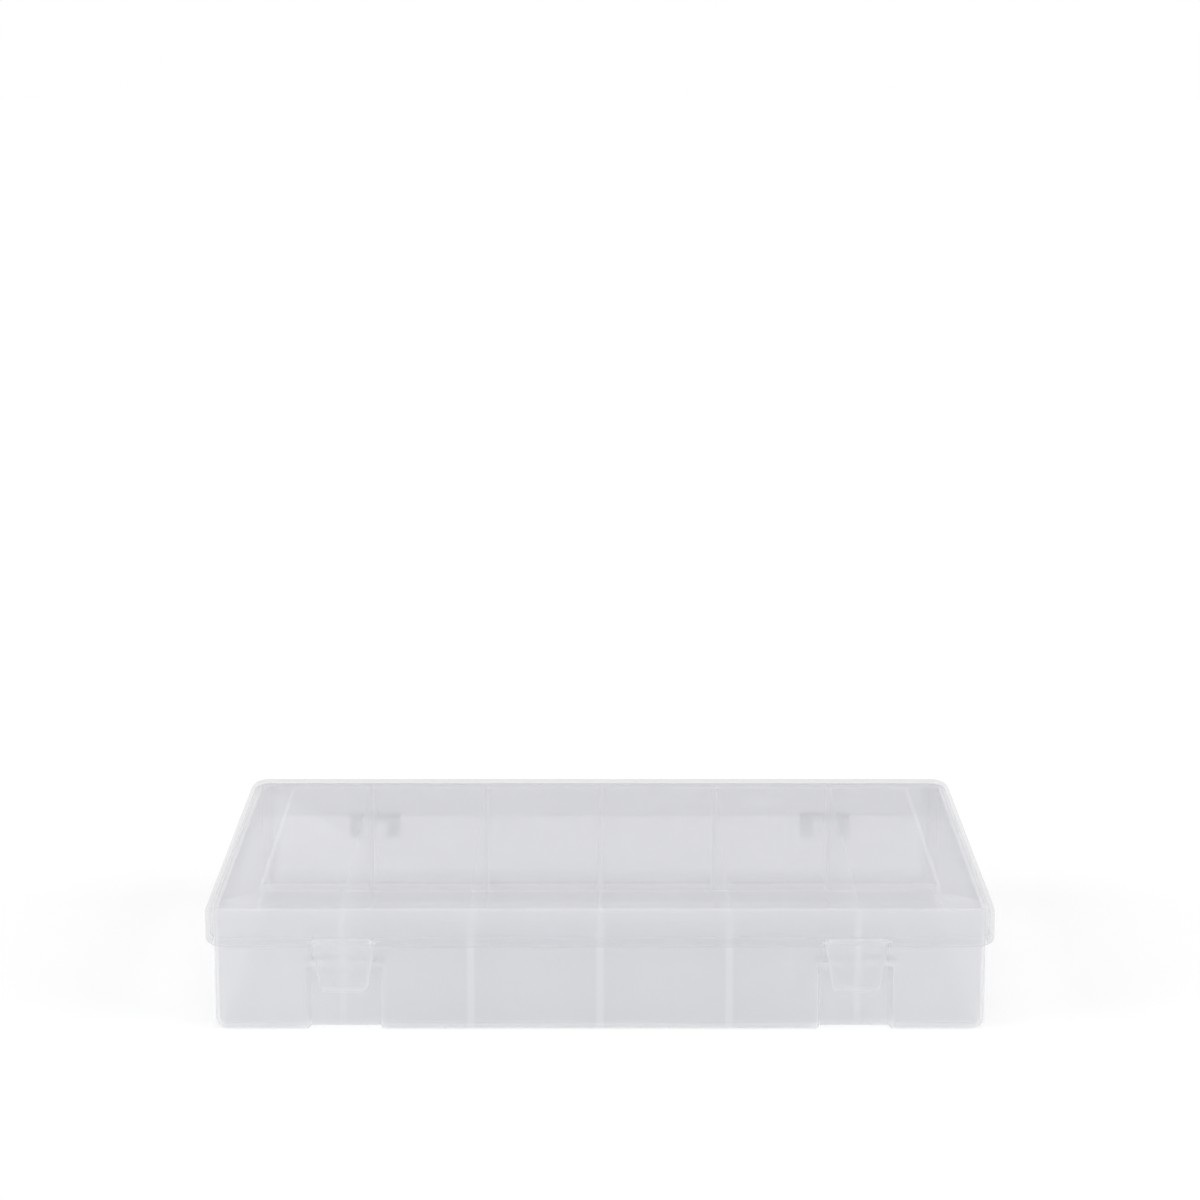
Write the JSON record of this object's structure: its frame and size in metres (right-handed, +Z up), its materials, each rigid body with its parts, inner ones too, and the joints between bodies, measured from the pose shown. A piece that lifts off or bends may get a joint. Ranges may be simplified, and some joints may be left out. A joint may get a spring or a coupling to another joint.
{
  "type": "compartment storage box",
  "caption": "Shallow rectangular storage box with lift-out dividers, a hinged lid with a deep skirt and swinging front latches, in frosted translucent plastic.",
  "frame": {"origin": "middle of the tray's flat underside, on the surface that the box stands on", "axes": "+X to the right along the box's length, seen from the front; +Y towards the hinges; +Z up"},
  "size_m": [0.32, 0.2115, 0.0541],
  "materials": {
    "tray_polypropylene": "frosted translucent polypropylene, satin, faintly blue-grey",
    "lid_polypropylene": "frosted translucent polypropylene, satin, faintly blue-grey",
    "latch_polypropylene": "frosted translucent polypropylene, satin",
    "divider_polypropylene": "frosted translucent polypropylene, satin",
    "pin_nylon": "natural white nylon rod"
  },
  "bodies": {
    "tray": {"base_tray": "tray_polypropylene", "divider_1": "divider_polypropylene", "divider_2": "divider_polypropylene", "divider_3": "divider_polypropylene", "divider_4": "divider_polypropylene", "divider_5": "divider_polypropylene", "hinge_pin_left": "pin_nylon", "hinge_pin_right": "pin_nylon"},
    "lid": {"lid": "lid_polypropylene"},
    "latch_left": {"latch_left": "latch_polypropylene"},
    "latch_right": {"latch_right": "latch_polypropylene"}
  },
  "joints": [
    {"name": "lid_hinge", "type": "hinge", "parent": "tray", "child": "lid", "pos_m": [0, 0.105, 0.03427], "axis": [-1, 0, 0], "range_deg": [0, 180]},
    {"name": "latch_left_hinge", "type": "hinge", "parent": "lid", "child": "latch_left", "pos_m": [-0.1036, -0.10268, 0.03807], "axis": [-1, 0, 0], "range_deg": [0, 110]},
    {"name": "latch_right_hinge", "type": "hinge", "parent": "lid", "child": "latch_right", "pos_m": [0.1036, -0.10268, 0.03807], "axis": [-1, 0, 0], "range_deg": [0, 110]}
  ]
}
